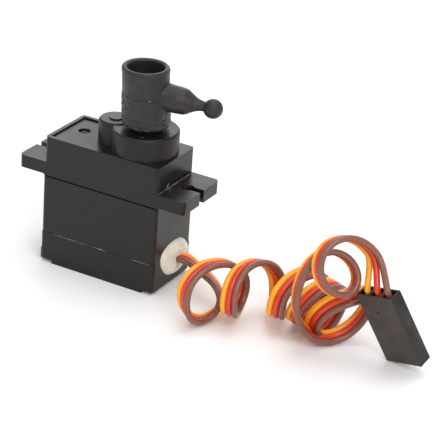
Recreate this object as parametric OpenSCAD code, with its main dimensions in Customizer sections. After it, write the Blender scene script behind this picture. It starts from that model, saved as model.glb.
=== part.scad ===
// Micro servo motor with a hub horn and a curled three-wire lead.
// Millimetres. The origin is the centre of the lowest bottom plane of the case.
// +X is the end where the lead leaves, +Z runs up the output shaft.

/* [Case] */
// Length of the top case without the mounting ears
case_l = 22.8; // [20:0.1:26]
// Width of the top case
case_w = 12.0; // [11:0.1:14]
// How far the lower case stands out beyond the top case, on each side
body_step = 0.18; // [0:0.01:0.3]
// Height of the flat top face of the case
case_h = 24.0; // [21:0.1:27]
// Height of the seam between the bottom cover and the middle case
cover_seam_z = 5.85; // [5:0.05:7]
// Height of the seam between the middle case and the top case
top_seam_z = 16.5; // [15:0.1:18]
// Thickness of the case walls
wall = 1.0; // [0.8:0.1:1.3]
// Radius of the upright case edges
edge_r = 0.6; // [0.3:0.1:1]

/* [Mounting ears] */
// Length over both ears
ear_span = 33.4; // [30:0.1:36]
// Height of the underside of the ears
ear_z = 16.85; // [15:0.05:19]
// Thickness of the ears
ear_t = 2.35; // [1.5:0.05:3]
// Distance between the two screw holes
ear_hole_spacing = 28.0; // [26:0.1:31]
// Radius of the screw holes
ear_hole_r = 1.1; // [0.9:0.05:1.5]
// Width of the slot that opens each hole to the end of its ear
ear_slot_w = 1.4; // [1:0.1:1.6]

/* [Output] */
// Distance of the output shaft from the middle of the case
output_x = 5.0; // [4:0.1:6]
// Outer radius of the large round boss
big_boss_r = 5.87; // [5:0.01:5.95]
// Height of the top of the large boss
big_boss_z = 28.0; // [26:0.1:29]
// Outer radius of the small round boss
small_boss_r = 3.0; // [2.6:0.1:3.4]
// Height of the top of the small boss
small_boss_z = 28.2; // [26:0.1:29]

/* [Horn] */
// Outer radius of the upper part of the hub
hub_r = 4.13; // [3.5:0.01:5]
// Radius of the open bore in the top of the hub
hub_bore_r = 3.2; // [2:0.01:4]
// Height of the top of the hub
hub_top_z = 39.2; // [34:0.1:42]
// Turn of the arm from the +X direction
arm_angle = 13; // [-90:1:90]
// Distance from the shaft axis to the centre of the ball
arm_l = 11.6; // [9:0.1:15]
// Height of the centre of the ball
ball_z = 33.5; // [32:0.1:36]
// Slope of the arm, down from the hub to the ball
arm_tilt = 6; // [0:0.5:12]
// Radius of the ball
ball_r = 1.7; // [1.2:0.1:2.5]

/* [Lead] */
// Diameter of one wire of the lead
wire_d = 1.1; // [0.9:0.05:1.5]
// Outer radius of the curled lead
curl_r = 5.9; // [4:0.1:8]

/* [Hidden] */
// Overlap of joined shapes, reach of a cutting shape past a face, and running play
eps = 0.01;
over = 1;
play = 0.05;
round_fn = 64;

// Lower case: corner posts, case screws and the raised pads under them
body_l = case_l + 2 * body_step;
body_w = case_w + 2 * body_step;
cover_step = 0.06;
end_x = body_l / 2 + cover_step;
post_x = case_l / 2 - 1.3;
post_y = case_w / 2 - 1.3;
post_r = 1.25;
pad_z = 0.6;
pad_x = 9.25;
floor_z = 1.2;
stud_x = 7.5;
stud_y = 2.7;
stud_r = 0.5;
latch_r = 0.75;
latch_step = 0.3;
latch_top_z = 2.4;
screw_r = 0.6;
screw_head_r = 0.95;
screw_head_z = 0.05;
screw_head_h = 0.9;
screw_tip_z = 21.0;
screw_slot_l = 1.2;
screw_slot_w = 0.25;
screw_slot_depth = 0.4;

// Top case
roof_t = 1.0;
seam_gap = 0.15;
seam_depth = 0.3;
ear_corner_r = 0.8;
rim_t = 0.7;
rim_h = 0.3;
rim_end_x = -3.6;
dimple_x = -7.7;
dimple_y = 0.6;
dimple_r = 1.1;
dimple_depth = 0.35;
pip_r = 0.25;
pip_h = 0.2;
boss_chamfer = 0.3;
boss_wall = 0.9;
boss_cavity_z = 25.5;
small_cavity_r = 2.35;
shaft_hole_r = 2.7;
button_r = 1.2;
button_h = 0.22;

// Gear train. The three axes lie on the line y = 0.
motor_x = -6.2;
idler_x = -1.0;
pin_r = 0.5;
pin_z0 = 15.4;
pin_top_z = 27.4;
deck_t = 1.2;
deck_z = top_seam_z - deck_t;
pressure_angle = 20;
tooth_shift = 0.4;
tooth_reach = 0.9;
tooth_foot = 1.2;
tooth_slack = 0.14;
fine_module = 0.2;
middle_module = 0.25;
coarse_module = 0.3;
motor_teeth = 9;
first_teeth = 43;
first_pinion_teeth = 11;
second_teeth = 37;
second_pinion_teeth = 12;
third_teeth = 28;
third_pinion_teeth = 11;
output_teeth = 29;

// Levels of the gears: the wheel's underside, the wheel's top and the pinion's top
motor_pinion_z = [16.9, 18.6];
first_z = [17.3, 18.2, 20.1];
second_z = [18.7, 19.8, 21.6];
third_z = [20.4, 21.4, 25.0];
output_z = [21.9, 24.6];

// Output shaft
output_collar_r = 3.0;
output_collar_z = 25.3;
output_shaft_r = 2.4;
spline_z = 28.1;
spline_top_z = 31.6;
spline_root_r = 2.1;
spline_tip_r = 2.35;
spline_teeth = 21;
bush_r = 3.4;
bush_top_z = 27.4;

// Horn screw
horn_screw_r = 0.85;
horn_screw_head_r = 1.8;
horn_screw_head_h = 1.1;
horn_screw_z0 = 28.2;
horn_hole_z0 = 27.0;
horn_slot_l = 2.2;
horn_slot_w = 0.5;
horn_slot_depth = 0.6;

// Horn. The web inside the hub is what the horn screw clamps to the output shaft.
hub_z = 28.6;
hub_collar_r = 2.75;
hub_collar_z = 28.15;
hub_low_r = 4.2;
hub_ring_z = 34.6;
hub_chamfer = 0.4;
web_z0 = 31.7;
web_z1 = 32.8;
web_z2 = 34.0;
web_hole_r = 1.0;
lip = 0.2;
arm_reach = arm_l / cos(arm_tilt);
arm_root_z = ball_z + arm_l * tan(arm_tilt);
root_r = 2.6;
root_x = 3.0;
shoulder_r = 2.45;
shoulder_x = 6.9;
neck_r = 0.75;
neck_x = 9.9;

// Motor
can_r = 4.0;
can_flat_w = 7.4;
can_wall = 0.4;
can_z0 = 4.9;
motor_cap_z0 = 4.6;
motor_cap_z1 = 5.9;
motor_shaft_r = 0.5;
motor_shaft_z0 = 5.2;
motor_shaft_top_z = 18.6;
motor_nose_r = 1.5;
motor_nose_h = 0.8;
core_z0 = 8.4;
core_z1 = 12.8;
core_r = 2.6;
core_hub_r = 1.0;
pole_count = 3;
pole_w = 0.8;
pole_reach = 2.4;
shoe_t = 0.4;
shoe_gap = 1.0;
shoe_gap_x = 2.0;
shoe_gap_l = 2.4;
winding_x = 1.6;
winding_l = 0.9;
winding_t = 0.4;
magnet_r = 2.9;
magnet_w = 5.2;
magnet_x = 1.6;
magnet_z0 = 7.6;
magnet_z1 = 14.0;
commutator_r = 0.9;
commutator_z0 = 6.1;
commutator_z1 = 7.6;

// Brush strips, from the terminal tabs under the motor to the commutator
brush_x = 2.4;
brush_w = 1.2;
brush_t = 0.3;
brush_tab = 0.4;
brush_z = 6.6;
brush_strip_t = 0.2;
brush_tip_z = 7.3;

// Position sensor under the output shaft
pot_z0 = 8.6;
pot_r = 3.9;
pot_wall = 0.6;
pot_floor_t = 0.8;
pot_lid_t = 1.0;
pot_collar_r = 2.0;
pot_collar_h = 1.0;
pot_shaft_r = 0.8;
pot_shaft_z0 = 9.9;
pot_shaft_top_z = 24.0;
track_t = 0.2;
track_r0 = 2.0;
track_r1 = 3.1;
track_gap = 1.2;
wiper_gap = 0.02;
wiper_r = 1.5;
wiper_z0 = 11.0;
wiper_z1 = 11.8;
finger_w = 0.8;
finger_t = 0.2;
finger_y = 2.6;
pin_pitch = 2.0;
pin_y = -2.6;
pin_w = 0.6;
pin_t = 0.3;

// Circuit board and what is on it: middle [x, y] and size [x, y, z]
board_z = 1.8;
board_t = 0.8;
board_top_z = board_z + board_t;
board_x0 = -9.2;
board_x1 = 8.6;
board_half_w = 3.2;
control_chip_at = [-1.2, 0];
control_chip_size = [4.0, 4.0, 0.9];
driver_chip_at = [2.8, 1.2];
driver_chip_size = [1.6, 1.6, 1.0];
capacitor_at = [6.0, 1.2];
capacitor_size = [1.6, 0.8, 0.8];
resistor_at = [-4.6, -2.1];
resistor_size = [1.0, 0.5, 0.35];
resistor_pitch = 1.4;
resistor_count = 4;
motor_lead_r = 0.4;

// Lead
lead_y = 2.8;
lead_z = 4.0;
core_wire_r = 0.25;
strip_x = board_x1 + 0.5;
joint_x = board_x1 - 0.8;
joint_step = 0.7;
seal_edge_t = 0.2;
seal_t = 0.7;
seal_top_share = 0.75;
seal_middle = [0.8, 5.0];
seal_outline = [
    [-3.8, 6.4], [-0.8, 8.2], [2.6, 8.0], [5.4, 5.0],
    [4.6, 2.9], [2.4, 1.8], [-0.2, 1.9], [-3.2, 3.8]
];
flat_r = 1.7;
flat_sides = 8;
curl_sides = 24;
loop_t = 4;
lower_loop_r = 6.3;
lower_loop_at = [44.2, -4.5, 6.8];
lower_loop_turn = [0, 107, -52];
upper_loop_r = 4.5;
upper_loop_at = [46, -7, 16.5];
upper_loop_turn = [0, 68, -40];

// The lead's route: out of the glue, along the middle of the curl, and over to the connector
exit_route = [
    [end_x + seal_t, 1.9, 4.2], [14.2, 1.9, 4.2], [18.5, -0.7, 4.6], [20.8, -1.9, 4.3],
    [22.6, -3.1, 3.9]
];
curl_route = [
    [20, -8.8, 6.1], [22.5, -8.6, 6.1], [26.5, -5.8, 6.1], [30, -3.8, 6.1],
    [33.5, -2, 6.1], [38.5, -0.2, 6.1], [43.5, -0.4, 6.1]
];
arch_route = [
    [44.5, -10, 20], [46.3, -7.7, 22.4], [48.3, -5.2, 21.7], [50, -3.6, 19.2],
    [51, -3.8, 17], [53.2, -5.9, 14]
];

// Connector. Its own axes are width, thickness and length from the mating face.
connector_at = [58.3, -2.0, 1.55];
connector_turn = [22, -16.5, -17];
connector_w = 7.6;
connector_t = 2.5;
connector_l = 14.0;
contact_pitch = 2.54;
cell_w = 1.9;
cell_z = 1.2;
socket_w = 1.0;
contact_w = 1.6;
contact_bore = 0.8;
contact_top_z = 10;
contact_bore_z = 9;
gate_x = -0.7;
gate_z = 10.6;
gate_r = 0.22;
gate_depth = 0.2;

plastic = [0.2, 0.2, 0.2];
horn_plastic = [0.24, 0.24, 0.24];
steel = [0.7, 0.7, 0.72];
brass = [0.8, 0.65, 0.3];
copper = [0.75, 0.45, 0.25];
nylon = [0.93, 0.92, 0.88];
glue = [0.9, 0.87, 0.8];
ferrite = [0.3, 0.3, 0.32];
sensor_blue = [0.25, 0.35, 0.5];
carbon = [0.1, 0.1, 0.1];
board_green = [0.1, 0.35, 0.2];
epoxy = [0.12, 0.12, 0.12];
ceramic = [0.7, 0.55, 0.35];
wire_red = [0.7, 0.1, 0.1];
wire_orange = [0.9, 0.5, 0.2];

// ---- shared shapes ----

// An upright rod from z0 to z1.
module rod(r, z0, z1) {
    translate([0, 0, z0])
        cylinder(r = r, h = z1 - z0, $fn = round_fn);
}

module tube(r, bore_r, z0, z1) {
    difference() {
        rod(r, z0, z1);
        rod(bore_r, z0 - over, z1 + over);
    }
}

// A rod with a chamfer round its top edge.
module boss(r, chamfer, z0, z1) {
    rod(r, z0, z1 - chamfer);
    translate([0, 0, z1 - chamfer])
        cylinder(r1 = r, r2 = r - chamfer, h = chamfer, $fn = round_fn);
}

// A block centred on the Z axis, from z0 to z1.
module block(l, w, z0, z1) {
    translate([-l / 2, -w / 2, z0])
        cube([l, w, z1 - z0]);
}

module rounded_block(l, w, r, z0, z1) {
    translate([0, 0, z0])
        linear_extrude(height = z1 - z0) {
            square([l - 2 * r, w], center = true);
            square([l, w - 2 * r], center = true);
            for (sx = [-1, 1])
                for (sy = [-1, 1])
                    translate([sx * (l / 2 - r), sy * (w / 2 - r)])
                        circle(r = r, $fn = round_fn);
        }
}

// The crossed slots that a screwdriver fits.
module driver_cross(l, w, z0, z1) {
    block(l, w, z0, z1);
    block(w, l, z0, z1);
}

module at_posts() {
    for (sx = [-1, 1])
        for (sy = [-1, 1])
            translate([sx * post_x, sy * post_y, 0])
                children();
}

// The hollow of a case part: a box with the four corner posts left standing.
module case_hollow(z0, z1) {
    difference() {
        block(case_l - 2 * wall, case_w - 2 * wall, z0, z1);
        at_posts()
            rod(post_r, z0 - over, z1 + over);
    }
}

// ---- case ----

module case_bottom() {
    color(plastic)
        difference() {
            union() {
                rounded_block(2 * end_x, body_w + 2 * cover_step, edge_r, pad_z, cover_seam_z);
                block(2 * pad_x, body_w, 0, pad_z + over);
                end_latches();
            }
            case_hollow(floor_z, cover_seam_z + over);
            at_posts() {
                rod(screw_r + play, -over, cover_seam_z + over);
                rod(screw_head_r + play, -over, screw_head_z + screw_head_h);
            }
            lead_notch();
        }
    color(plastic)
        for (sx = [-1, 1])
            for (sy = [-1, 1])
                translate([sx * stud_x, sy * stud_y, 0])
                    rod(stud_r, floor_z - eps, board_z);
}

// Two low round ridges at the foot of the end away from the lead.
module end_latches() {
    for (sy = [-1, 1])
        translate([latch_r - latch_step - end_x, sy * (body_w / 2 - latch_r), 0])
            rod(latch_r, pad_z, latch_top_z);
}

// The slot in the end wall that the three wires pass through.
module lead_notch() {
    translate([case_l / 2 - wall / 2, lead_y, 0])
        block(2 * wall, wire_d + 2 * play, lead_z - 1.5 * wire_d - play, cover_seam_z + over);
}

module case_middle() {
    color(plastic)
        difference() {
            rounded_block(body_l, body_w, edge_r, cover_seam_z, top_seam_z);
            case_hollow(cover_seam_z - over, deck_z);
            at_posts()
                rod(screw_r + play, cover_seam_z - over, top_seam_z + over);
            translate([motor_x, 0, 0])
                rod(motor_nose_r + play, deck_z - over, top_seam_z + over);
            translate([output_x, 0, 0])
                rod(pot_collar_r + play, deck_z - over, top_seam_z + over);
            translate([idler_x, 0, 0])
                rod(pin_r, pin_z0, top_seam_z + over);
        }
}

module ear_keyholes() {
    for (side = [-1, 1])
        translate([side * ear_hole_spacing / 2, 0, 0]) {
            rod(ear_hole_r, ear_z - over, ear_z + ear_t + over);
            translate([side * ear_hole_r * 2, 0, 0])
                block(ear_hole_r * 4, ear_slot_w, ear_z - over, ear_z + ear_t + over);
        }
}

// The shallow recess in the top face, which leaves a thin rim around it, and the dimple in it.
module top_recess() {
    x0 = -case_l / 2 + rim_t;
    recess_z = case_h - rim_h;
    translate([(x0 + rim_end_x) / 2, 0, 0])
        block(rim_end_x - x0, case_w - 2 * rim_t, recess_z, case_h + over);
    translate([dimple_x, dimple_y, 0])
        difference() {
            rod(dimple_r, recess_z - dimple_depth, case_h + over);
            rod(pip_r, recess_z - dimple_depth - over, recess_z - dimple_depth + pip_h);
        }
}

// The outside of the top case. Its foot is set in, which leaves a groove along the seam.
// A strip below each ear stands out as far as the lower case does.
module top_shell() {
    foot_l = case_l - 2 * seam_depth;
    foot_w = case_w - 2 * seam_depth;
    rounded_block(case_l, case_w, edge_r, top_seam_z + seam_gap, case_h);
    rounded_block(foot_l, foot_w, edge_r, top_seam_z, top_seam_z + over);
    block(body_l, case_w, top_seam_z + seam_gap, ear_z + eps);
    rounded_block(ear_span, case_w, ear_corner_r, ear_z, ear_z + ear_t);
    translate([output_x, 0, 0])
        boss(big_boss_r, boss_chamfer, case_h - over, big_boss_z);
    translate([idler_x, 0, 0]) {
        boss(small_boss_r, boss_chamfer, case_h - over, small_boss_z);
        rod(button_r, case_h, small_boss_z + button_h);
    }
}

module top_hollow() {
    difference() {
        block(case_l - 2 * wall, case_w - 2 * wall, top_seam_z - over, case_h - roof_t - rim_h);
        at_posts()
            rod(post_r, top_seam_z - 2 * over, case_h);
    }
    translate([output_x, 0, 0]) {
        rod(big_boss_r - boss_wall, case_h - 2 * over, boss_cavity_z);
        rod(bush_r, boss_cavity_z - over, bush_top_z);
        rod(shaft_hole_r, bush_top_z - over, big_boss_z + over);
    }
    translate([idler_x, 0, 0]) {
        rod(small_cavity_r, case_h - 2 * over, boss_cavity_z);
        rod(pin_r, boss_cavity_z - over, pin_top_z);
    }
}

module case_top() {
    color(plastic)
        difference() {
            top_shell();
            top_hollow();
            at_posts()
                rod(screw_r, top_seam_z - over, screw_tip_z);
            ear_keyholes();
            top_recess();
        }
}

module case_screws() {
    color(steel)
        at_posts()
            difference() {
                union() {
                    rod(screw_head_r, screw_head_z, screw_head_z + screw_head_h);
                    rod(screw_r, screw_head_z, screw_tip_z);
                }
                driver_cross(screw_slot_l, screw_slot_w, -over, screw_head_z + screw_slot_depth);
            }
}

module output_bush() {
    color(brass)
        translate([output_x, 0, 0])
            tube(bush_r, output_shaft_r + play, boss_cavity_z, bush_top_z);
}

module idler_pin() {
    color(steel)
        translate([idler_x, 0, 0])
            rod(pin_r, pin_z0, pin_top_z);
}

// ---- gears ----

function involute(a) = tan(a) * 180 / PI - a;

// Half the angle that a tooth covers at radius r.
function tooth_half_angle(m, teeth, shift, r) =
    let (
        pitch_r = m * teeth / 2,
        base_r = pitch_r * cos(pressure_angle),
        at_pitch = (PI / 2 * (1 - tooth_slack) + 2 * shift * tan(pressure_angle)) / teeth
    )
    at_pitch * 180 / PI + involute(pressure_angle)
        - involute(r > base_r ? acos(base_r / r) : 0);

// The outline of one tooth: root, base, middle and tip of each flank.
function tooth_points(m, teeth, shift, middle) =
    let (
        pitch_r = m * teeth / 2,
        base_r = pitch_r * cos(pressure_angle),
        foot_r = pitch_r - (tooth_foot - shift) * m,
        tip_r = pitch_r + (tooth_reach + shift) * m,
        low_r = max(foot_r, base_r),
        radii = [foot_r, low_r, (low_r + 2 * tip_r) / 3, tip_r],
        flank = [for (r = radii) [r, tooth_half_angle(m, teeth, shift, r)]]
    )
    concat(
        [for (p = flank) p[0] * [cos(middle - p[1]), sin(middle - p[1])]],
        [for (i = [3:-1:0]) flank[i][0] * [cos(middle + flank[i][1]), sin(middle + flank[i][1])]]
    );

module gear_blank(m, teeth, shift, start, z0, z1) {
    outline = [
        for (i = [0:teeth - 1])
            for (p = tooth_points(m, teeth, shift, start + i * 360 / teeth)) p
    ];
    translate([0, 0, z0])
        linear_extrude(height = z1 - z0)
            polygon(outline);
}

module motor_pinion() {
    color(brass)
        translate([motor_x, 0, 0])
            difference() {
                gear_blank(fine_module, motor_teeth, tooth_shift, 0, motor_pinion_z[0], motor_pinion_z[1]);
                rod(motor_shaft_r, motor_pinion_z[0] - over, motor_pinion_z[1] + over);
            }
}

// A free-running wheel with its pinion above it. wheel is [module, teeth, first tooth's angle],
// pinion is [module, teeth], and z lists the three levels.
module wheel_and_pinion(x, wheel, pinion, bore_r, z) {
    color(nylon)
        translate([x, 0, 0])
            difference() {
                union() {
                    gear_blank(wheel[0], wheel[1], -tooth_shift, wheel[2], z[0], z[1]);
                    gear_blank(pinion[0], pinion[1], tooth_shift, 0, z[1] - eps, z[2]);
                }
                rod(bore_r, z[0] - over, z[2] + over);
            }
}

module first_gear() {
    wheel_and_pinion(idler_x, [fine_module, first_teeth, 0],
        [middle_module, first_pinion_teeth], pin_r + play, first_z);
}

module second_gear() {
    wheel_and_pinion(output_x, [middle_module, second_teeth, 0],
        [coarse_module, second_pinion_teeth], pot_shaft_r + play, second_z);
}

module third_gear() {
    wheel_and_pinion(idler_x, [coarse_module, third_teeth, 180 / third_teeth],
        [coarse_module, third_pinion_teeth], pin_r + play, third_z);
}

module output_gear() {
    color(brass)
        translate([output_x, 0, 0])
            difference() {
                union() {
                    gear_blank(coarse_module, output_teeth, -tooth_shift, 0, output_z[0], output_z[1]);
                    rod(output_collar_r, output_z[1] - eps, output_collar_z);
                    rod(output_shaft_r, output_z[1] - eps, spline_z);
                    output_spline();
                }
                rod(pot_shaft_r, output_z[0] - over, pot_shaft_top_z);
                rod(horn_screw_r, horn_hole_z0, spline_top_z + over);
            }
}

module output_spline() {
    step = 360 / spline_teeth;
    outline = [
        for (i = [0:spline_teeth - 1])
            for (k = [0, 1])
                let (r = k == 0 ? spline_root_r : spline_tip_r)
                    r * [cos((i + k / 2) * step), sin((i + k / 2) * step)]
    ];
    translate([0, 0, spline_z - eps])
        linear_extrude(height = spline_top_z - spline_z + eps)
            polygon(outline);
}

// ---- horn ----

// The hub, with a thin collar under it round the output shaft.
module hub_outside() {
    outline = [
        [0, hub_collar_z],
        [hub_collar_r, hub_collar_z],
        [hub_collar_r, hub_z],
        [hub_low_r - hub_chamfer, hub_z],
        [hub_low_r, hub_z + hub_chamfer],
        [hub_low_r, hub_ring_z],
        [hub_r, hub_ring_z],
        [hub_r, hub_top_z - lip],
        [hub_r - lip, hub_top_z],
        [0, hub_top_z]
    ];
    rotate_extrude($fn = round_fn)
        polygon(outline);
}

// The bore above the web, the screw's seat and hole, and the socket for the output shaft.
module hub_inside() {
    rod(hub_bore_r, web_z2, hub_top_z + over);
    rod(horn_screw_head_r + play, web_z1, web_z2 + over);
    rod(web_hole_r, web_z0 - over, web_z1 + over);
    rod(output_shaft_r + play, hub_z - over, web_z0);
}

module horn_arm() {
    outline = [
        [0, root_x],
        [root_r, root_x],
        [shoulder_r, shoulder_x],
        [neck_r, neck_x],
        [neck_r, arm_reach],
        [0, arm_reach]
    ];
    rotate([0, 0, arm_angle])
        translate([0, 0, arm_root_z])
            rotate([0, 90 + arm_tilt, 0]) {
                rotate_extrude($fn = round_fn)
                    polygon(outline);
                translate([0, 0, arm_reach])
                    sphere(r = ball_r, $fn = round_fn);
            }
}

module servo_horn() {
    color(horn_plastic)
        translate([output_x, 0, 0])
            difference() {
                union() {
                    hub_outside();
                    horn_arm();
                }
                hub_inside();
            }
}

module horn_screw() {
    head_z = web_z1 + horn_screw_head_h;
    color(steel)
        translate([output_x, 0, 0])
            difference() {
                union() {
                    rod(horn_screw_r, horn_screw_z0, web_z1);
                    rod(horn_screw_head_r, web_z1, head_z);
                }
                driver_cross(horn_slot_l, horn_slot_w, head_z - horn_slot_depth, head_z + over);
            }
}

// ---- motor ----

// A round can with two flats, one on each side.
module can_shape(r, flat_w, z0, z1) {
    intersection() {
        rod(r, z0, z1);
        block(3 * r, flat_w, z0 - over, z1 + over);
    }
}

module motor_can() {
    color(steel)
        translate([motor_x, 0, 0])
            difference() {
                union() {
                    can_shape(can_r, can_flat_w, can_z0, deck_z);
                    rod(motor_nose_r, deck_z - eps, deck_z + motor_nose_h);
                }
                can_shape(can_r - can_wall, can_flat_w - 2 * can_wall, can_z0 - over, deck_z - can_wall);
                rod(motor_shaft_r + play, deck_z - over, deck_z + 2 * over);
            }
}

module motor_end_cap() {
    color(nylon)
        translate([motor_x, 0, 0])
            difference() {
                union() {
                    can_shape(can_r, can_flat_w, motor_cap_z0, can_z0);
                    can_shape(can_r - can_wall, can_flat_w - 2 * can_wall, can_z0 - eps, motor_cap_z1);
                }
                rod(motor_shaft_r + play, motor_shaft_z0 - 2 * play, motor_cap_z1 + over);
                for (side = [-1, 1])
                    translate([side * brush_x, 0, 0])
                        block(brush_t, brush_w, motor_cap_z0 - over, motor_cap_z1 + over);
            }
}

module motor_magnets() {
    outer_r = can_r - can_wall;
    color(ferrite)
        translate([motor_x, 0, 0])
            for (side = [-1, 1])
                intersection() {
                    tube(outer_r, magnet_r, magnet_z0, magnet_z1);
                    translate([side * (magnet_x + outer_r / 2), 0, 0])
                        block(outer_r, magnet_w, magnet_z0 - over, magnet_z1 + over);
                }
}

// A strip rises from each terminal tab and bears on the commutator.
module motor_brushes() {
    tip_x = commutator_r + play;
    color(copper)
        translate([motor_x, 0, 0])
            for (turn = [0, 180])
                rotate([0, 0, turn]) {
                    translate([brush_x, 0, 0])
                        block(brush_t, brush_w, motor_cap_z0 - brush_tab, brush_z);
                    translate([tip_x, -brush_w / 2, brush_z])
                        cube([brush_x + brush_t / 2 - tip_x, brush_w, brush_strip_t]);
                    translate([tip_x, -brush_w / 2, brush_z])
                        cube([brush_strip_t, brush_w, brush_tip_z - brush_z]);
                }
}

module motor_shaft() {
    color(steel)
        translate([motor_x, 0, 0])
            rod(motor_shaft_r, motor_shaft_z0, motor_shaft_top_z);
}

module at_poles(start = 0) {
    for (i = [0:pole_count - 1])
        rotate([0, 0, start + i * 360 / pole_count])
            children();
}

// The hub of the core and its poles, drawn flat and raised.
module pole_cross() {
    translate([0, 0, core_z0])
        linear_extrude(height = core_z1 - core_z0) {
            circle(r = core_hub_r, $fn = round_fn);
            at_poles()
                translate([0, -pole_w / 2])
                    square([pole_reach, pole_w]);
        }
}

// A hub with three poles, and a curved shoe at the end of each pole.
module motor_core() {
    color(steel)
        translate([motor_x, 0, 0])
            difference() {
                union() {
                    pole_cross();
                    difference() {
                        tube(core_r, core_r - shoe_t, core_z0, core_z1);
                        at_poles(180 / pole_count)
                            translate([shoe_gap_x, 0, 0])
                                block(shoe_gap_l, shoe_gap, core_z0 - over, core_z1 + over);
                    }
                }
                rod(motor_shaft_r, core_z0 - over, core_z1 + over);
            }
}

module motor_windings() {
    color(copper)
        translate([motor_x, 0, 0])
            at_poles()
                translate([winding_x, 0, 0])
                    difference() {
                        block(winding_l, pole_w + 2 * winding_t, core_z0 - winding_t, core_z1 + winding_t);
                        block(winding_l + over, pole_w, core_z0, core_z1);
                    }
}

module motor_commutator() {
    color(copper)
        translate([motor_x, 0, 0])
            tube(commutator_r, motor_shaft_r, commutator_z0, commutator_z1);
}

// ---- position sensor ----

module sensor_housing() {
    color(sensor_blue)
        translate([output_x, 0, 0])
            difference() {
                union() {
                    rod(pot_r, pot_z0, deck_z);
                    rod(pot_collar_r, deck_z - eps, deck_z + pot_collar_h);
                }
                rod(pot_r - pot_wall, pot_z0 + pot_floor_t, deck_z - pot_lid_t);
                rod(pot_shaft_r + play, deck_z - 2 * over, deck_z + 2 * over);
            }
}

// A flat carbon ring with a gap between its ends.
module sensor_track() {
    floor_top_z = pot_z0 + pot_floor_t;
    color(carbon)
        translate([output_x, 0, 0])
            difference() {
                tube(track_r1, track_r0, floor_top_z, floor_top_z + track_t);
                translate([0, -track_r1, 0])
                    block(track_gap, track_r1, pot_z0, floor_top_z + over);
            }
}

// A hub clamped on the shaft, with a finger that ends just over the track.
module sensor_wiper() {
    tip_z = pot_z0 + pot_floor_t + track_t + wiper_gap;
    color(brass)
        translate([output_x, 0, 0]) {
            difference() {
                union() {
                    rod(wiper_r, wiper_z0, wiper_z1);
                    translate([0, finger_y / 2, 0])
                        block(finger_w, finger_y, wiper_z0, wiper_z0 + finger_t);
                }
                rod(pot_shaft_r, wiper_z0 - over, wiper_z1 + over);
            }
            translate([0, finger_y, 0])
                block(finger_w, 2 * finger_t, tip_z, wiper_z0 + finger_t);
        }
}

module sensor_shaft() {
    color(steel)
        translate([output_x, 0, 0])
            rod(pot_shaft_r, pot_shaft_z0, pot_shaft_top_z);
}

module sensor_terminals() {
    color(steel)
        for (i = [-1:1])
            translate([output_x + i * pin_pitch, pin_y, 0])
                block(pin_w, pin_t, board_top_z, pot_z0);
}

// ---- circuit board ----

module circuit_board() {
    color(board_green)
        translate([(board_x0 + board_x1) / 2, 0, 0])
            block(board_x1 - board_x0, 2 * board_half_w, board_z, board_top_z);
}

// A plain package soldered to the board.
module package(x, y, size) {
    translate([x, y, 0])
        block(size[0], size[1], board_top_z, board_top_z + size[2]);
}

module control_chip() {
    color(epoxy)
        package(control_chip_at[0], control_chip_at[1], control_chip_size);
}

module driver_chips() {
    color(epoxy)
        for (side = [-1, 1])
            package(driver_chip_at[0], side * driver_chip_at[1], driver_chip_size);
}

module board_capacitors() {
    color(ceramic)
        for (side = [-1, 1])
            package(capacitor_at[0], side * capacitor_at[1], capacitor_size);
}

module board_resistors() {
    color(epoxy)
        for (i = [0:resistor_count - 1])
            package(resistor_at[0], resistor_at[1] + i * resistor_pitch, resistor_size);
}

module motor_leads() {
    color(wire_red)
        for (side = [-1, 1])
            translate([motor_x + side * brush_x, 0, 0])
                rod(motor_lead_r, board_top_z, motor_cap_z0 - brush_tab);
}

// ---- lead ----

// A rod along +X from x0 to x1.
module bar(r, x0, x1) {
    translate([x0, 0, 0])
        rotate([0, 90, 0])
            rod(r, 0, x1 - x0);
}

// The three wires inside the case: bare ends on the board, then insulation out through the notch.
module lead_tails() {
    for (i = [-1:1]) {
        z = lead_z + i * wire_d;
        bend_x = joint_x - (i + 1) * joint_step;
        color(wire_orange)
            translate([0, lead_y, 0]) {
                translate([0, 0, z]) {
                    bar(wire_d / 2, strip_x, end_x);
                    bar(core_wire_r, bend_x, strip_x + eps);
                }
                translate([bend_x, 0, 0])
                    rod(core_wire_r, board_top_z, z + core_wire_r);
            }
    }
}

// The bead of glue that closes the notch on the outside of the end wall.
module lead_seal() {
    color(glue)
        translate([end_x, 0, 0])
            hull() {
                seal_slice(seal_outline, seal_edge_t);
                seal_slice([for (p = seal_outline) seal_middle + seal_top_share * (p - seal_middle)], seal_t);
            }
}

// A thin upright slice of the bead, drawn as [y, z] points.
module seal_slice(outline, t) {
    rotate([90, 0, 90])
        linear_extrude(height = t)
            polygon(outline);
}

function unit(v) = v / norm(v);

// Points on a ring of radius r around point p, square to direction t.
function ring_at(p, t, r, sides) =
    let (
        side = unit(cross(t, abs(t[2]) > 0.9 ? [1, 0, 0] : [0, 0, 1])),
        up = cross(side, t)
    )
    [for (k = [0:sides - 1]) p + r * (cos(k * 360 / sides) * side + sin(k * 360 / sides) * up)];

// A closed tube of one radius along a list of points.
module swept(points, r, sides) {
    n = len(points);
    rings = [
        for (i = [0:n - 1])
            let (t = unit(points[min(i + 1, n - 1)] - points[max(i - 1, 0)]))
                for (q = ring_at(points[i], t, r, sides)) q
    ];
    quads = [
        for (i = [0:n - 2])
            for (k = [0:sides - 1])
                let (a = i * sides + k, b = i * sides + (k + 1) % sides)
                    for (f = [[a, a + sides, b], [b, a + sides, b + sides]]) f
    ];
    cap0 = [for (k = [1:sides - 2]) [0, k, k + 1]];
    last = (n - 1) * sides;
    cap1 = [for (k = [1:sides - 2]) [last, last + k + 1, last + k]];
    polyhedron(points = rings, faces = concat(cap0, quads, cap1), convexity = 4);
}

module lead_exit() {
    color(wire_orange)
        swept(exit_route, flat_r, flat_sides);
}

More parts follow.
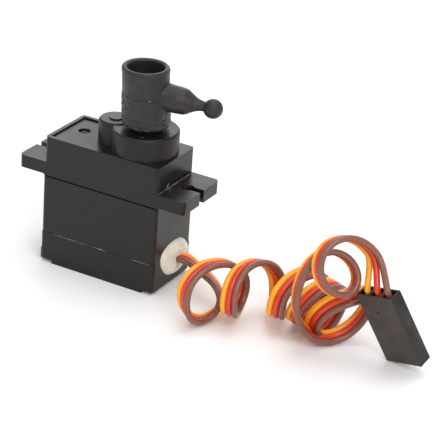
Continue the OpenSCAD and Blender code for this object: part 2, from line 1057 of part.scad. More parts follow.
// The curl that lies on the surface, as one fat tube of its outer size.
module lead_curl() {
    color(wire_orange)
        swept(curl_route, curl_r, curl_sides);
}

// A loop of the lead as a disc of its outer size.
module loop_disc(r) {
    rod(r, -loop_t / 2, loop_t / 2);
}

module lead_lower_loop() {
    color(wire_orange)
        translate(lower_loop_at)
            rotate(lower_loop_turn)
                loop_disc(lower_loop_r);
}

module lead_upper_loop() {
    color(wire_orange)
        translate(upper_loop_at)
            rotate(upper_loop_turn)
                loop_disc(upper_loop_r);
}

module lead_arch() {
    color(wire_orange)
        swept(arch_route, flat_r, flat_sides);
}

// ---- connector ----

module in_connector() {
    translate(connector_at)
        rotate(connector_turn)
            children();
}

module at_contacts() {
    for (i = [-1:1])
        translate([i * contact_pitch, 0, 0])
            children();
}

module connector_housing() {
    color(plastic)
        in_connector()
            difference() {
                block(connector_w, connector_t, 0, connector_l);
                at_contacts() {
                    block(cell_w, cell_w, cell_z, connector_l + over);
                    block(socket_w, socket_w, -over, cell_z + over);
                }
                gate_mark();
            }
}

// The small round mark that the moulding gate leaves on one wide face.
module gate_mark() {
    translate([gate_x, gate_depth - connector_t / 2, gate_z])
        rotate([90, 0, 0])
            rod(gate_r, 0, gate_depth + over);
}

module connector_contacts() {
    color(brass)
        in_connector()
            at_contacts()
                difference() {
                    block(contact_w, contact_w, cell_z, contact_top_z);
                    block(contact_bore, contact_bore, cell_z - over, contact_bore_z);
                }
}

case_bottom();
case_middle();
case_top();
case_screws();
output_bush();
idler_pin();
motor_pinion();
first_gear();
second_gear();
third_gear();
output_gear();
servo_horn();
horn_screw();
motor_can();
motor_end_cap();
motor_magnets();
motor_brushes();
motor_shaft();
motor_core();
motor_windings();
motor_commutator();
sensor_housing();
sensor_track();
sensor_wiper();
sensor_shaft();
sensor_terminals();
circuit_board();
control_chip();
driver_chips();
board_capacitors();
board_resistors();
motor_leads();
lead_tails();
lead_seal();
lead_exit();
lead_curl();
lead_lower_loop();
lead_upper_loop();
lead_arch();
connector_housing();
connector_contacts();
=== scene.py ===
import math

import bpy
from mathutils import Matrix, Vector, noise


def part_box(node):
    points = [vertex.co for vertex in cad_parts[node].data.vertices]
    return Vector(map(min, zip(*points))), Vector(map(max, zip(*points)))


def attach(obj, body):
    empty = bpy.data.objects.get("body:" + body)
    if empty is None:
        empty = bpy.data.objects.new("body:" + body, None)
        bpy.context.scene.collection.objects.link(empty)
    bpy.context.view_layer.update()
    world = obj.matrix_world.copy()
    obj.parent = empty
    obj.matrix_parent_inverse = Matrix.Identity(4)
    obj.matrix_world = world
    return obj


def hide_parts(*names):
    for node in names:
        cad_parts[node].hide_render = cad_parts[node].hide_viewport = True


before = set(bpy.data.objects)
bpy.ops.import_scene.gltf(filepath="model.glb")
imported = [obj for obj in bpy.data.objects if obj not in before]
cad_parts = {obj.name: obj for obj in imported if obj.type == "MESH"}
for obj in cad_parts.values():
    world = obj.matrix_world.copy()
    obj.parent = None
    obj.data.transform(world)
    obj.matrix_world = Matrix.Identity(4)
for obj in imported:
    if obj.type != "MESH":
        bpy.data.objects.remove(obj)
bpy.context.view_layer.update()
MM = 0.001
TAU = 2 * math.pi

# ---- camera ----

CAMERA_AT = Vector((158.8, -264.5, 158.8)) * MM
CAMERA_AIM = Vector((14.9, 12.4, 7.7)) * MM
CAMERA_ROLL = math.radians(4.3)
CAMERA_LENS = 156.4
CAMERA_SENSOR = 36


def add_camera():
    back = (CAMERA_AT - CAMERA_AIM).normalized()
    level = Vector((0, 0, 1)).cross(back).normalized()
    upright = back.cross(level)
    right = level * math.cos(CAMERA_ROLL) + upright * math.sin(CAMERA_ROLL)
    up = back.cross(right)
    data = bpy.data.cameras.new("camera")
    data.lens = CAMERA_LENS
    data.sensor_width = CAMERA_SENSOR
    data.clip_start = 0.01
    data.clip_end = 5
    camera = bpy.data.objects.new("camera", data)
    turn = Matrix((right, up, back)).transposed().to_4x4()
    camera.matrix_world = Matrix.Translation(CAMERA_AT) @ turn
    bpy.context.scene.collection.objects.link(camera)
    bpy.context.scene.camera = camera


add_camera()
bpy.context.scene.view_settings.view_transform = "Standard"

# ---- material helpers ----


class Nodes:
    """A material's node tree, with short calls to add and join its nodes."""

    def __init__(self, name):
        self.material = bpy.data.materials.new(name)
        self.material.use_nodes = True
        self.tree = self.material.node_tree
        self.shader = self.tree.nodes["Principled BSDF"]
        self.place = self.tree.nodes.new("ShaderNodeTexCoord").outputs["Object"]

    def add(self, kind, inputs=None, **settings):
        made = self.tree.nodes.new(kind)
        for key, value in settings.items():
            setattr(made, key, value)
        for key, value in (inputs or {}).items():
            self.give(made.inputs[key], value)
        return made

    def give(self, socket, value):
        if isinstance(value, bpy.types.NodeSocket):
            self.tree.links.new(value, socket)
        else:
            socket.default_value = value

    def noise(self, scale, detail=4.0, rough=0.55, place=None):
        inputs = {"Vector": place or self.place, "Scale": scale, "Detail": detail, "Roughness": rough}
        return self.add("ShaderNodeTexNoise", inputs).outputs["Fac"]

    def ramp(self, value, low, high, dark, light):
        """dark where value is low or less, light where it is high or more."""
        made = self.add("ShaderNodeValToRGB", {"Fac": value})
        points = made.color_ramp.elements
        points[0].position, points[1].position = low, high
        points[0].color, points[1].color = dark, light
        return made.outputs["Color"]

    def levels(self, value, low, high, from_value, to_value):
        inputs = {0: value, 1: low, 2: high, 3: from_value, 4: to_value}
        return self.add("ShaderNodeMapRange", inputs).outputs[0]

    def mix(self, amount, a, b):
        made = self.add("ShaderNodeMix", data_type="RGBA")
        self.give(made.inputs["Factor"], amount)
        self.give([s for s in made.inputs if s.name == "A" and s.type == "RGBA"][0], a)
        self.give([s for s in made.inputs if s.name == "B" and s.type == "RGBA"][0], b)
        return [s for s in made.outputs if s.type == "RGBA"][0]

    def bump(self, height, strength, distance):
        inputs = {"Height": height, "Strength": strength, "Distance": distance}
        made = self.add("ShaderNodeBump", inputs)
        self.tree.links.new(made.outputs["Normal"], self.shader.inputs["Normal"])

    def set(self, **values):
        for key, value in values.items():
            self.give(self.shader.inputs[key.replace("_", " ")], value)


def colour(r, g, b):
    return (r, g, b, 1.0)


def shade(c, k):
    return (c[0] * k, c[1] * k, c[2] * k, 1.0)


def plastic(name, base, rough, spread=0.18):
    """Moulded plastic: slow colour drift, uneven gloss and a fine grain."""
    n = Nodes(name)
    n.set(Base_Color=n.ramp(n.noise(180), 0.3, 0.7, shade(base, 1 - spread), shade(base, 1 + spread)))
    n.set(Roughness=n.levels(n.noise(420), 0.3, 0.7, rough - 0.07, rough + 0.08), Specular_IOR_Level=0.4)
    n.bump(n.noise(2500, 6.0), 0.25, 0.00002)
    return n.material


def metal(name, base, rough=0.3):
    n = Nodes(name)
    scratch = n.add("ShaderNodeMapping", {"Vector": n.place, "Scale": (1, 1, 14)}).outputs[0]
    lines = n.noise(900, 5.0, place=scratch)
    n.set(Base_Color=n.ramp(lines, 0.3, 0.7, shade(base, 0.82), shade(base, 1.08)), Metallic=1.0)
    n.set(Roughness=n.levels(n.noise(600), 0.3, 0.7, rough - 0.08, rough + 0.12))
    n.bump(lines, 0.15, 0.00002)
    return n.material


CASE_BLACK = colour(0.0090, 0.0080, 0.0062)
HORN_GREY = colour(0.0170, 0.0165, 0.0150)
CONNECTOR_GREY = colour(0.034, 0.023, 0.019)
ORANGE = colour(0.95, 0.40, 0.012)
RED = colour(0.69, 0.038, 0.011)
BROWN = colour(0.225, 0.080, 0.053)
GLUE = colour(0.80, 0.74, 0.63)


def case_material():
    """Satin black plastic with faint smudges and a few specks of dust."""
    n = Nodes("case_plastic")
    stretched = n.add("ShaderNodeMapping", {"Vector": n.place, "Scale": (1, 1, 6)}).outputs[0]
    streaks = n.noise(160, 4.0, place=stretched)
    base = n.ramp(streaks, 0.3, 0.7, shade(CASE_BLACK, 0.8), shade(CASE_BLACK, 1.25))
    spots = n.add("ShaderNodeTexVoronoi", {"Vector": n.place, "Scale": 420}, feature="F1")
    dust = n.levels(spots.outputs["Distance"], 0.02, 0.035, 1, 0)
    patchy = n.levels(n.noise(330, 1.0), 0.50, 0.55, 0, 1)
    shown = n.add("ShaderNodeMath", {0: dust, 1: patchy}, operation="MULTIPLY").outputs[0]
    n.set(Base_Color=n.mix(shown, base, colour(0.20, 0.19, 0.18)), Specular_IOR_Level=0.33)
    smudge = n.add("ShaderNodeMath", {0: n.noise(95, 3.0), 1: streaks}, operation="ADD").outputs[0]
    n.set(Roughness=n.levels(smudge, 0.75, 1.25, 0.27, 0.40))
    n.bump(n.noise(2600, 6.0), 0.18, 0.00002)
    return n.material


def horn_material():
    """Matt plastic, scuffed lighter in small patches."""
    n = Nodes("horn_plastic")
    base = n.ramp(n.noise(220), 0.3, 0.7, shade(HORN_GREY, 0.78), shade(HORN_GREY, 1.18))
    scuffs = n.levels(n.noise(520, 6.0, 0.7), 0.5, 0.7, 0, 0.4)
    n.set(Base_Color=n.mix(scuffs, base, shade(HORN_GREY, 2.6)), Specular_IOR_Level=0.42)
    n.set(Roughness=n.levels(n.noise(420), 0.3, 0.7, 0.38, 0.54))
    n.bump(n.noise(1100, 6.0), 0.4, 0.00008)
    return n.material


def wire_material(name, base):
    n = Nodes(name)
    n.set(Base_Color=n.ramp(n.noise(260), 0.3, 0.7, shade(base, 0.86), shade(base, 1.08)))
    n.set(Roughness=n.levels(n.noise(700), 0.3, 0.7, 0.22, 0.36), Specular_IOR_Level=0.6)
    n.bump(n.noise(2200, 3.0), 0.12, 0.00003)
    return n.material


# Degrees about x, then y, then z, from standing upright with the wires leaving at the top
CONNECTOR_TURN = (22, -16.5, -17)


def connector_frame():
    """The connector's own axes: its width, its thickness and its length."""
    a, b, c = (math.radians(v) for v in CONNECTOR_TURN)
    return Matrix.Rotation(c, 3, "Z") @ Matrix.Rotation(b, 3, "Y") @ Matrix.Rotation(a, 3, "X")


def connector_material():
    """Matt moulded plastic, with painted shade making its two small sides darker than its wide faces."""
    n = Nodes("connector_plastic")
    normal = n.tree.nodes.new("ShaderNodeTexCoord").outputs["Normal"]
    width_way = connector_frame() @ Vector((1, 0, 0))
    along = n.add("ShaderNodeVectorMath", {0: normal, 1: width_way}, operation="DOT_PRODUCT")
    facing = n.add("ShaderNodeMath", {0: along.outputs["Value"]}, operation="ABSOLUTE").outputs[0]
    # Painted shade mask: 1 on the two small sides, 0 on the wide faces
    painted_shade_on_sides = n.levels(facing, 0.7, 0.9, 0, 1)
    mottled = n.noise(420, 6.0, 0.65)
    wide = n.ramp(mottled, 0.35, 0.65, shade(CONNECTOR_GREY, 0.78), shade(CONNECTOR_GREY, 1.25))
    # The same grey darkened for the small sides: painted shade
    side = n.ramp(mottled, 0.35, 0.65, shade(CONNECTOR_GREY, 0.28), shade(CONNECTOR_GREY, 0.5))
    n.set(Base_Color=n.mix(painted_shade_on_sides, wide, side), Specular_IOR_Level=0.4)
    n.set(Roughness=n.levels(n.noise(500), 0.3, 0.7, 0.38, 0.54))
    n.bump(n.noise(1300, 6.0), 0.35, 0.00006)
    return n.material


CASE = case_material()
HORN = horn_material()
CONNECTOR = connector_material()
NYLON = plastic("gear_nylon", colour(0.80, 0.79, 0.73), 0.4)
STEEL = metal("steel", colour(0.62, 0.62, 0.64))
BRIGHT_STEEL = metal("screw_steel", colour(0.48, 0.48, 0.49), 0.28)
BRASS = metal("brass", colour(0.80, 0.58, 0.25))
COPPER = metal("copper", colour(0.72, 0.33, 0.16), 0.35)
MAGNET = plastic("magnet", colour(0.07, 0.07, 0.075), 0.6)
SENSOR = plastic("sensor_plastic", colour(0.05, 0.12, 0.28), 0.4)
CARBON = plastic("carbon_track", colour(0.02, 0.02, 0.02), 0.7)
BOARD = plastic("board_mask", colour(0.02, 0.16, 0.06), 0.28)
CHIP = plastic("chip_epoxy", colour(0.025, 0.025, 0.025), 0.55)
CERAMIC = plastic("ceramic", colour(0.45, 0.30, 0.16), 0.35)
MOTOR_WIRE = wire_material("motor_wire", colour(0.6, 0.03, 0.02))

NODE_MATERIALS = {
    CASE: ["case_bottom", "case_middle", "case_top"],
    CONNECTOR: ["connector_housing"],
    NYLON: ["first_gear", "second_gear", "third_gear", "motor_end_cap"],
    STEEL: ["idler_pin", "motor_shaft", "motor_core", "motor_can", "sensor_shaft"],
    BRIGHT_STEEL: ["case_screws", "horn_screw"],
    BRASS: [
        "output_bush", "motor_pinion", "output_gear", "sensor_wiper", "sensor_terminals",
        "connector_contacts",
    ],
    COPPER: ["motor_brushes", "motor_windings", "motor_commutator", "lead_tails"],
    MAGNET: ["motor_magnets"],
    SENSOR: ["sensor_housing"],
    CARBON: ["sensor_track"],
    BOARD: ["circuit_board"],
    CHIP: ["control_chip", "driver_chips", "board_resistors"],
    CERAMIC: ["board_capacitors"],
    MOTOR_WIRE: ["motor_leads"],
}


def dress_cad_nodes():
    for material, names in NODE_MATERIALS.items():
        for name in names:
            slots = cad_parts[name].material_slots
            for one in slots:
                one.material = material
            if not slots:
                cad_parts[name].data.materials.append(material)


dress_cad_nodes()

WELD = 0.001
BEVEL_ANGLE = math.radians(28)
EDGE_SIZES = {
    0.12: ["case_bottom", "case_middle", "case_top"],
    0.25: ["connector_housing"],
    0.05: ["horn_screw", "case_screws", "output_gear"],
}


def soften_edges():
    """Small rounded edges, as on moulded parts, that catch the light."""
    for width, names in EDGE_SIZES.items():
        for name in names:
            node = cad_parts[name]
            weld = node.modifiers.new("weld", "WELD")
            weld.merge_threshold = WELD * MM
            bevel = node.modifiers.new("bevel", "BEVEL")
            bevel.width = width * MM
            bevel.segments = 2
            bevel.limit_method = "ANGLE"
            bevel.angle_limit = BEVEL_ANGLE
            bevel.harden_normals = True


soften_edges()

# ---- lead ----

WIRE_D = 1.1

# From the glue bead to the first turn: x, y, z, then the way the orange wire lies from the red one.
EXIT_STATIONS = [
    (11.5, 2.2, 4.4, -0.45, 0.88, -0.1),
    (12.4, 2.2, 4.4, -0.43, 0.88, -0.05),
    (14.2, 2.0, 4.4, -0.43, 0.88, 0.02),
    (18.5, -0.7, 4.6, -0.46, 0.88, 0.0),
    (20.8, -1.9, 4.3, -0.46, 0.88, -0.1),
    (22.6, -3.1, 3.9, -0.42, 0.9, -0.15),
    (23.9, -4.3, 3.2, -0.38, 0.92, -0.15),
    (24.4, -5.4, 2.4, -0.35, 0.93, -0.13),
    (24.5, -6.5, 1.6, -0.35, 0.93, -0.1),
    (24.1, -7.7, 1.0, -0.35, 0.93, -0.08),
]
# The same way at the start of the curl, and the turn by which the wires lie side by side along it
CURL_ACROSS = Vector((-0.35, 0.93, -0.08))
SETTLED = 0.8

# The curl, one station each half turn: the turn's middle x, y, z, its heading and pitch in degrees,
# and its radius. Turn 0 would start at the top of the first ring.
CURL_STATIONS = [
    (20.1, -11.0, 4.1, -21, -2, 5.3),
    (22.8, -8.8, 6.1, -19, 7, 5.4),
    (24.2, -7.4, 5.7, -23, 5, 5.0),
    (27.2, -5.4, 6.5, 1, -3, 4.6),
    (29.9, -3.9, 5.7, -6, 12, 5.2),
    (33.6, -1.9, 6.6, 13, 0, 4.4),
    (36.5, -0.5, 5.4, -11, -12, 5.1),
    (38.4, 0.5, 6.1, -12, -11, 5.1),
    (40.5, -0.2, 4.5, -10, -12, 4.8),
    (42.9, -0.4, 5.8, -2, -16, 5.1),
    (44.6, -1.6, 6.7, -23, -45, 5.5),
    (44.5, -4.5, 6.7, -52, -17, 5.9),
    (44.5, -7.7, 14.7, -46, 22, 4.1),
    (46.7, -6.7, 16.2, -45, 24, 3.9),
    (48.0, -8.4, 17.8, -28, 24, 4.8),
    (51.9, -7.9, 17.6, -8, 20, 5.0),
]
# The turns between which the curl is drawn
CURL_START = 0.5
CURL_END = 7.2
STEPS_PER_TURN = 32
STEPS_PER_EXIT_STATION = 6
ARCH_STEPS = 12

CONNECTOR_AT = Vector((58.3, -2.0, 1.55))
CONNECTOR_L = 14.0
# The wires at the connector's mouth: how far apart, how hard they turn into it, and how deep they go
MOUTH_PITCH = 2.25
MOUTH_PULL = 0.5
WIRE_IN_CELL = 3.0


def through(rows, t):
    """A smooth curve through rows of numbers, at t rows along (Catmull-Rom)."""
    last = len(rows) - 1
    i = min(max(int(t), 0), last - 1)
    s = t - i
    p0, p1 = rows[max(i - 1, 0)], rows[i]
    p2, p3 = rows[i + 1], rows[min(i + 2, last)]
    return [
        0.5 * (2 * b + (c - a) * s + (2 * a - 5 * b + 4 * c - d) * s * s + (3 * b - a - 3 * c + d) * s ** 3)
        for a, b, c, d in zip(p0, p1, p2, p3)
    ]


def ease(t):
    """0 before t = 0, 1 after t = 1 and smooth between."""
    t = min(max(t, 0.0), 1.0)
    return t * t * (3 - 2 * t)


def curl_point(turns):
    """The red wire's place after that many turns, and the way the orange wire lies from it."""
    x, y, z, heading, pitch, radius = through(CURL_STATIONS, 2 * turns)
    h, p = math.radians(heading), math.radians(pitch)
    axis = Vector((math.cos(h) * math.cos(p), math.sin(h) * math.cos(p), math.sin(p)))
    up = Vector((-math.cos(h) * math.sin(p), -math.sin(h) * math.sin(p), math.cos(p)))
    back = up.cross(axis)
    around = math.cos(TAU * turns) * up + math.sin(TAU * turns) * back
    settled = ease((turns - CURL_START) / (SETTLED - CURL_START))
    across = CURL_ACROSS.lerp(-axis, settled)
    return Vector((x, y, z)) + radius * around, across.normalized()


def lead_line(side):
    """One wire's line in mm. side is 1 for orange, 0 for red and -1 for brown."""
    line = []
    for i in range(STEPS_PER_EXIT_STATION * (len(EXIT_STATIONS) - 1)):
        row = through(EXIT_STATIONS, i / STEPS_PER_EXIT_STATION)
        line.append(Vector(row[:3]) + side * WIRE_D * Vector(row[3:]).normalized())
    count = round((CURL_END - CURL_START) * STEPS_PER_TURN)
    for i in range(count + 1):
        middle, across = curl_point(CURL_START + i / STEPS_PER_TURN)
        line.append(middle + side * WIRE_D * across)
    turn = connector_frame()
    mouth = CONNECTOR_AT + turn @ Vector((-side * MOUTH_PITCH, 0, CONNECTOR_L))
    inwards = turn @ Vector((0, 0, -1))
    start, pull = line[-1], (line[-1] - line[-2]).normalized()
    reach = (mouth - start).length
    for i in range(1, ARCH_STEPS + 1):
        s = i / ARCH_STEPS
        h0, h1 = 2 * s ** 3 - 3 * s ** 2 + 1, s ** 3 - 2 * s ** 2 + s
        h2, h3 = -2 * s ** 3 + 3 * s ** 2, s ** 3 - s ** 2
        straight = h0 * start + h2 * mouth
        line.append(straight + h1 * reach * pull + h3 * MOUTH_PULL * reach * inwards)
    line.append(mouth + inwards * WIRE_IN_CELL)
    return line


def line_length(line):
    return sum((b - a).length for a, b in zip(line, line[1:]))


def add_wire(name, side, material):
    line = lead_line(side)
    data = bpy.data.curves.new(name, "CURVE")
    data.dimensions = "3D"
    data.bevel_depth = WIRE_D / 2 * MM
    data.bevel_resolution = 4
    data.use_fill_caps = True
    spline = data.splines.new("POLY")
    spline.points.add(len(line) - 1)
    for point, place in zip(spline.points, line):
        point.co = (*(place * MM), 1)
    wire = bpy.data.objects.new(name, data)
    data.materials.append(material)
    bpy.context.scene.collection.objects.link(wire)
    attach(wire, "case")
    print(name, "length", round(line_length(line), 1), "mm")
    return wire


add_wire("wire_orange", 1, wire_material("wire_orange", ORANGE))
red = add_wire("wire_red", 0, wire_material("wire_red", RED))
add_wire("wire_brown", -1, wire_material("wire_brown", BROWN))
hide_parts("lead_exit", "lead_curl", "lead_lower_loop", "lead_upper_loop", "lead_arch")

# ---- mesh helpers ----


def skin(rings, wrap=False):
    """Points and faces of a surface over rings: capped at both ends, or joined end to end."""
    around = len(rings[0])
    verts = [v for ring in rings for v in ring]
    faces = []
    last = len(rings) if wrap else len(rings) - 1
    for i in range(last):
        a, b = i * around, (i + 1) % len(rings) * around
        for k in range(around):
            j = (k + 1) % around
            faces.append((a + k, a + j, b + j, b + k))
    if not wrap:
        faces.append(list(reversed(range(around))))
        faces.append([len(verts) - around + k for k in range(around)])
    return verts, faces


def add_piece(name, verts, faces, body, material, crease=35, replaced=()):
    """A mesh from points in mm, shaded smooth up to the crease angle, riding on a CAD body."""
    mesh = bpy.data.meshes.new(name)
    mesh.from_pydata([Vector(v) * MM for v in verts], [], faces)
    mesh.materials.append(material)
    mesh.shade_smooth()
    mesh.set_sharp_from_angle(angle=math.radians(crease))
    piece = bpy.data.objects.new(name, mesh)
    bpy.context.scene.collection.objects.link(piece)
    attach(piece, body)
    if replaced:
        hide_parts(*replaced)
    return piece


def circle(middle, a, b, radius_at, count):
    """A ring of points round the middle in the plane of a and b. radius_at gives each angle's radius."""
    turns = [TAU * k / count for k in range(count)]
    return [middle + radius_at(t) * (math.cos(t) * a + math.sin(t) * b) for t in turns]


# ---- horn ----

OUTPUT = Vector((5.0, 0, 0))
HUB_LOW_R = 4.16
HUB_R = 4.07
HUB_Z = 28.6
RING_Z = 34.4
BORE_R = 3.2
SCREW_BORE_R = 1.85
HUB_OUTLINE = [
    (2.45, 28.03), (2.7, 28.03), (2.75, 28.1), (2.75, 28.6), (3.7, 28.6), (4.0, 28.75),
    (HUB_LOW_R, 29.0), (HUB_LOW_R, RING_Z - 0.1), (HUB_R - 0.03, RING_Z), (HUB_R, RING_Z + 0.1),
    (HUB_R, 38.0), (4.13, 38.5), (4.13, 38.75), (4.06, 39.0), (3.92, 39.15), (3.7, 39.2),
    (3.42, 39.15), (3.28, 39.05), (BORE_R, 38.9), (BORE_R, 34.0), (SCREW_BORE_R, 34.0),
    (SCREW_BORE_R, 32.8), (1.0, 32.8), (1.0, 31.7), (2.45, 31.7),
]
# The hub was pushed on a little askew: how far its outside moves for each mm above its foot.
HUB_LEAN = Vector((-0.047, -0.026, 0))
HUB_STEP = 0.12
# How rough the hub is between the two heights, over which heights that fades in and out, how wavy it
# is all over, and the radius inside which it is smooth
HUB_TORN = 0.13
TORN_ABOVE = HUB_Z - 0.2
TORN_BELOW = RING_Z - 0.05
TORN_FADE_IN = 0.5
TORN_FADE_OUT = 0.25
HUB_WAVY = 0.012
HUB_SMOOTH_R = 3.9
HUB_AROUND = 220
ARM_ANGLE = math.radians(13)
ARM_L = 11.6
BALL_Z = 33.5
BALL_R = 1.7
BALL_RINGS = 40
BALL_AROUND = 64
ARM_SLOPE = math.tan(math.radians(5))
ARM_ROOT_X = 5.0
ARM_ROOT_R = 2.4
ARM_FLARE = 0.2
ARM_SUNK = 0.15
ARM_STEP = 0.25
# The arm's root follows the askew hub up to here, and is clear of it after the second distance.
ARM_ASKEW_TO = 3.5
ARM_ASKEW_FADE = 4
ARM_ROUGHNESS = 0.03
ARM_OUTLINE = [
    (5.6, 2.36), (6.3, 2.3), (6.75, 2.22), (7.0, 2.12), (7.4, 1.88), (8.0, 1.53), (8.6, 1.19),
    (9.2, 0.98), (9.6, 0.9), (10.0, 0.87), (10.6, 0.87),
]
ARM_AROUND = 96


def spaced(outline, step):
    """The outline with points added so that no two are further apart than step."""
    made = []
    for a, b in zip(outline, outline[1:]):
        a, b = Vector(a), Vector(b)
        count = max(1, math.ceil((b - a).length / step))
        made += [a.lerp(b, i / count) for i in range(count)]
    return made + [Vector(outline[-1])]


def torn(point):
    """The roughness of torn, scraped plastic, from about -1 to 1, with ridges that run round the hub."""
    slow = noise.noise(Vector((point.x * 0.9, point.y * 0.9, point.z * 1.5)))
    ridges = noise.noise(Vector((point.x * 1.1, point.y * 1.1, point.z * 3.4 + 0.9 * point.x)))
    fine = noise.noise(point * 4.5)
    return 0.8 * slow + 0.9 * ridges + 0.35 * fine


def hub_relief(r, z, angle):
    """How far the hub's surface stands off its outline: rough below the ring, nearly smooth above."""
    if r < HUB_SMOOTH_R:
        return 0.0
    at = Vector((r * math.cos(angle), r * math.sin(angle), z))
    low = ease((TORN_BELOW - z) / TORN_FADE_OUT) * ease((z - TORN_ABOVE) / TORN_FADE_IN)
    return HUB_TORN * low * torn(at) + HUB_WAVY * noise.noise(at * 0.8)


def add_hub():
    rings = []
    for r, z in spaced(HUB_OUTLINE + HUB_OUTLINE[:1], HUB_STEP)[:-1]:
        askew = ease((r - SCREW_BORE_R) / (BORE_R - SCREW_BORE_R)) * max(0, z - HUB_Z)
        middle = OUTPUT + Vector((0, 0, z)) + askew * HUB_LEAN
        x, y = Vector((1, 0, 0)), Vector((0, 1, 0))
        rings.append(circle(middle, x, y, lambda t, r=r, z=z: r + hub_relief(r, z, t), HUB_AROUND))
    verts, faces = skin(rings, wrap=True)
    add_piece("horn_hub", verts, faces, "output", HORN, 45, ["servo_horn"])


def arm_ring(x_at, radius):
    """A ring round the arm. x_at gives the distance from the shaft for a point's sideways offset."""
    out = Vector((math.cos(ARM_ANGLE), math.sin(ARM_ANGLE), 0))
    side = Vector((-out.y, out.x, 0))
    ring = []
    for k in range(ARM_AROUND):
        t = TAU * k / ARM_AROUND
        y, z = radius * math.cos(t), radius * math.sin(t)
        x = x_at(y)
        at = OUTPUT + x * out + y * side + Vector((0, 0, BALL_Z + (ARM_L - x) * ARM_SLOPE + z))
        at += (at.z - HUB_Z) * HUB_LEAN * (1 - ease((x - ARM_ASKEW_TO) / ARM_ASKEW_FADE))
        rough = noise.noise(at * 1.6) + 0.5 * noise.noise(at * 4)
        ring.append(at + ARM_ROUGHNESS * rough * (y * side + Vector((0, 0, z))) / radius)
    return ring


def root_x(y, w):
    """A point of the arm's root: in the hub's wall where w is 0, and on one flat ring where it is 1."""
    wall = math.sqrt(HUB_R ** 2 - y ** 2) - ARM_SUNK
    return wall + (ARM_ROOT_X - wall) * w


def add_arm():
    """The barrel with its flare into the hub, the cone and the neck."""
    rings = []
    for w in (0, 0.04, 0.1, 0.2, 0.35, 0.55, 0.8):
        radius = ARM_ROOT_R + ARM_FLARE * (1 - w) ** 4
        rings.append(arm_ring(lambda y, w=w: root_x(y, w), radius))
    for x, r in spaced(ARM_OUTLINE, ARM_STEP):
        rings.append(arm_ring(lambda y, x=x: x, r))
    verts, faces = skin(rings)
    add_piece("horn_arm", verts, faces, "output", HORN, 60)


def add_ball():
    out = Vector((math.cos(ARM_ANGLE), math.sin(ARM_ANGLE), 0))
    middle = OUTPUT + ARM_L * out + Vector((0, 0, BALL_Z))
    rings = []
    for i in range(1, BALL_RINGS):
        t = math.pi * i / BALL_RINGS
        side, up = Vector((-out.y, out.x, 0)), Vector((0, 0, 1))
        r = BALL_R * math.sin(t)
        rings.append(circle(middle - BALL_R * math.cos(t) * out, side, up, lambda a, r=r: r, BALL_AROUND))
    verts, faces = skin(rings)
    add_piece("horn_ball", verts, faces, "output", HORN, 60)


add_hub()
add_arm()
add_ball()

# ---- glue bead ----

SEAL_OUTLINE = [
    (-3.8, 6.6), (-2.7, 7.6), (-0.6, 8.2), (2.4, 8.0), (4.6, 6.6), (5.4, 4.8),
    (4.6, 3.0), (2.6, 1.8), (0.1, 1.8), (-2.0, 2.6), (-3.8, 4.8),
]
SEAL_MIDDLE = Vector((0.8, 5.0))
SEAL_T = 0.75
SEAL_LUMPS = 0.20
SEAL_SMALL_LUMPS = 0.10
SEAL_DENT = 0.25
SEAL_DENT_AT = (2.1, 4.4)
SEAL_DENT_SPREAD = 1.5
# Middle of the darker spot on the glue, just below where the wires leave it, in m
DARK_SPOT_AT = (0.0124, 0.0014, 0.0038)
SEAL_AROUND = 88
SEAL_RINGS = 14
SEAL_FIRST_RING = 0.02


def glue_material():
    n = Nodes("glue")
    # Darker in random patches, and most in a spot just below where the wires leave the glue
    far = n.add("ShaderNodeVectorMath", {0: n.place, 1: DARK_SPOT_AT}, operation="DISTANCE").outputs["Value"]
    dark_spot = n.levels(far, 0.0006, 0.0018, 0.2, 0)
    patchy = n.add("ShaderNodeMath", {0: n.noise(330, 5.0), 1: dark_spot}, operation="ADD").outputs[0]
    darker_mask = n.levels(patchy, 0.58, 0.70, 0, 0.55)
    base = n.ramp(n.noise(500), 0.3, 0.7, shade(GLUE, 0.9), shade(GLUE, 1.12))
    n.set(Base_Color=n.mix(darker_mask, base, colour(0.30, 0.24, 0.18)))
    n.set(Roughness=n.levels(n.noise(800), 0.3, 0.7, 0.42, 0.65), Subsurface_Weight=0.1)
    n.bump(n.noise(1100, 5.0), 0.6, 0.0002)
    return n.material


def seal_height(y, z, s):
    """Thickness of the bead: a flat dome with lumps, thin at its edge and dented where the wires leave."""
    lumps = SEAL_LUMPS * noise.noise(Vector((y * 0.7, z * 0.7, 3)))
    lumps += SEAL_SMALL_LUMPS * noise.noise(Vector((y * 2, z * 2, 7)))
    dent_y, dent_z = SEAL_DENT_AT
    dent = SEAL_DENT * math.exp(-((y - dent_y) ** 2 + (z - dent_z) ** 2) / SEAL_DENT_SPREAD)
    return (SEAL_T + lumps - dent) * math.sqrt(max(0.0, 1 - s ** 4))


def add_seal():
    """The bead of glue over the lead's notch, on the end wall of the case."""
    wall_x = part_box("case_middle")[1].x / MM
    count = len(SEAL_OUTLINE)
    loop = SEAL_OUTLINE + SEAL_OUTLINE[:3]
    edge = [Vector(through(loop, 1 + count * k / SEAL_AROUND)) for k in range(SEAL_AROUND)]
    rings = []
    for i in range(SEAL_RINGS + 1):
        s = max(SEAL_FIRST_RING, i / SEAL_RINGS)
        ring = []
        for p in edge:
            y, z = SEAL_MIDDLE + (p - SEAL_MIDDLE) * s
            ring.append(Vector((wall_x + seal_height(y, z, s), y, z)))
        rings.append(ring)
    verts, faces = skin(rings)
    add_piece("glue_bead", verts, faces, "case", glue_material(), 70, ["lead_seal"])


add_seal()
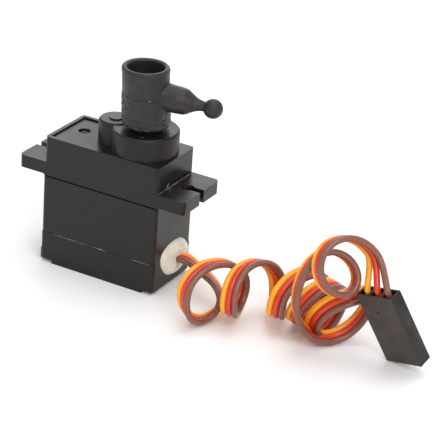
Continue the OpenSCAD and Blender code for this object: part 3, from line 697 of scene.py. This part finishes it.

# ---- small marks ----

# Thin beads of lighter plastic, painted highlights and worn scuffs: where each starts, where it ends, and
# its radius.
CASE_HIGHLIGHTS_AND_WEAR = [
    # Painted highlight along the joint of the ear and the end wall
    ((11.43, -5.8, 19.23), (11.43, 5.4, 19.23), 0.05),
    # Painted highlights along the bottom cover's seam, on the front and round the end
    ((-8.9, -6.25, 5.87), (-3.7, -6.25, 5.87), 0.04),
    ((-3.6, -6.25, 5.87), (-0.9, -6.25, 5.87), 0.02),
    ((-0.8, -6.25, 5.87), (1.9, -6.25, 5.87), 0.05),
    ((7.2, -6.25, 5.87), (10.9, -6.25, 5.87), 0.035),
    ((11.65, -5.4, 5.87), (11.65, -3.0, 5.87), 0.04),
    # Worn scuffs near the ear
    ((11.42, -2.3, 20.1), (11.42, -2.9, 19.5), 0.05),
    ((11.6, -2.3, 19.22), (12.1, -2.7, 19.22), 0.06),
    ((11.9, -3.0, 19.22), (12.5, -3.5, 19.22), 0.04),
    # A small light speck on the boss top
    ((6.7, -4.2, 28.01), (6.9, -4.2, 28.01), 0.06),
]
# A painted glint on the hub's ring
HORN_PAINTED_GLINT = [((7.16, -3.54, 34.42), (7.54, -3.23, 34.42), 0.05)]
# The nub under the arm, where the plastic flowed into the mould
HORN_GATE = [((11.9, 1.58, 31.95), (12.0, 1.62, 31.68), 0.16)]
MARK_STEP = 0.2
MARK_AROUND = 6
MARK_TIP = 0.04
MARK_BLUNTNESS = 0.3
# Light grey for both the painted highlights and the worn scuffs
HIGHLIGHT_AND_WEAR = plastic("highlight_and_wear_plastic", colour(0.30, 0.29, 0.27), 0.5, spread=0.4)


def add_marks(name, marks, body, material):
    """Uneven beads that taper at both ends, all in one mesh."""
    verts, faces = [], []
    for start, end, radius in marks:
        start, end = Vector(start), Vector(end)
        along = end - start
        side = along.orthogonal().normalized()
        up = side.cross(along).normalized()
        count = max(4, math.ceil(along.length / MARK_STEP))
        rings = []
        for i in range(count + 1):
            at = start.lerp(end, i / count)
            from_tip = min(max(i / count, MARK_TIP), 1 - MARK_TIP)
            taper = math.sin(math.pi * from_tip) ** MARK_BLUNTNESS
            r = radius * taper * (0.9 + 0.8 * noise.noise(at * 1.7))
            rings.append(circle(at, side, up, lambda t, r=r: r, MARK_AROUND))
        more, sides = skin(rings)
        faces += [[len(verts) + k for k in face] for face in sides]
        verts += more
    add_piece(name, verts, faces, body, material, 80)


add_marks("case_highlights_and_wear", CASE_HIGHLIGHTS_AND_WEAR, "case", HIGHLIGHT_AND_WEAR)
add_marks("horn_painted_glint", HORN_PAINTED_GLINT, "output", HIGHLIGHT_AND_WEAR)
add_marks("horn_gate", HORN_GATE, "output", HORN)

# ---- surroundings ----

FLOOR_SIZE = 3.0
FLOOR_GAP = 0.00002
WORLD_STRENGTH = 0.8

# Area lights: place, aim, size and power
LIGHTS = {
    "top": ((0.02, 0.10, 0.7), (0.02, 0, 0.01), 0.5, 1.2),
    "right": ((0.45, -0.45, 0.55), (0.03, 0, 0.01), 0.5, 2.4),
    "back": ((-0.45, 0.90, 0.50), (0.02, 0, 0.02), 0.8, 2.1),
}


def add_floor():
    bpy.ops.mesh.primitive_plane_add(size=FLOOR_SIZE, location=(0, 0, -FLOOR_GAP))
    floor = bpy.context.object
    floor.name = "floor"
    n = Nodes("floor")
    n.set(Base_Color=n.ramp(n.noise(3), 0.3, 0.7, colour(0.93, 0.93, 0.93), colour(0.95, 0.95, 0.95)))
    n.set(Roughness=0.9)
    floor.data.materials.append(n.material)


def add_area(name, place, aim, size, power):
    data = bpy.data.lights.new(name, "AREA")
    data.shape = "DISK"
    data.size = size
    data.energy = power
    light = bpy.data.objects.new(name, data)
    way = Vector(aim) - Vector(place)
    light.matrix_world = Matrix.Translation(place) @ way.to_track_quat("-Z", "Y").to_matrix().to_4x4()
    bpy.context.scene.collection.objects.link(light)


def add_world():
    world = bpy.data.worlds.new("studio")
    world.use_nodes = True
    sky = world.node_tree.nodes["Background"]
    sky.inputs["Color"].default_value = colour(1, 1, 1)
    sky.inputs["Strength"].default_value = WORLD_STRENGTH
    bpy.context.scene.world = world


add_floor()
add_world()
for light_name, settings in LIGHTS.items():
    add_area(light_name, *settings)
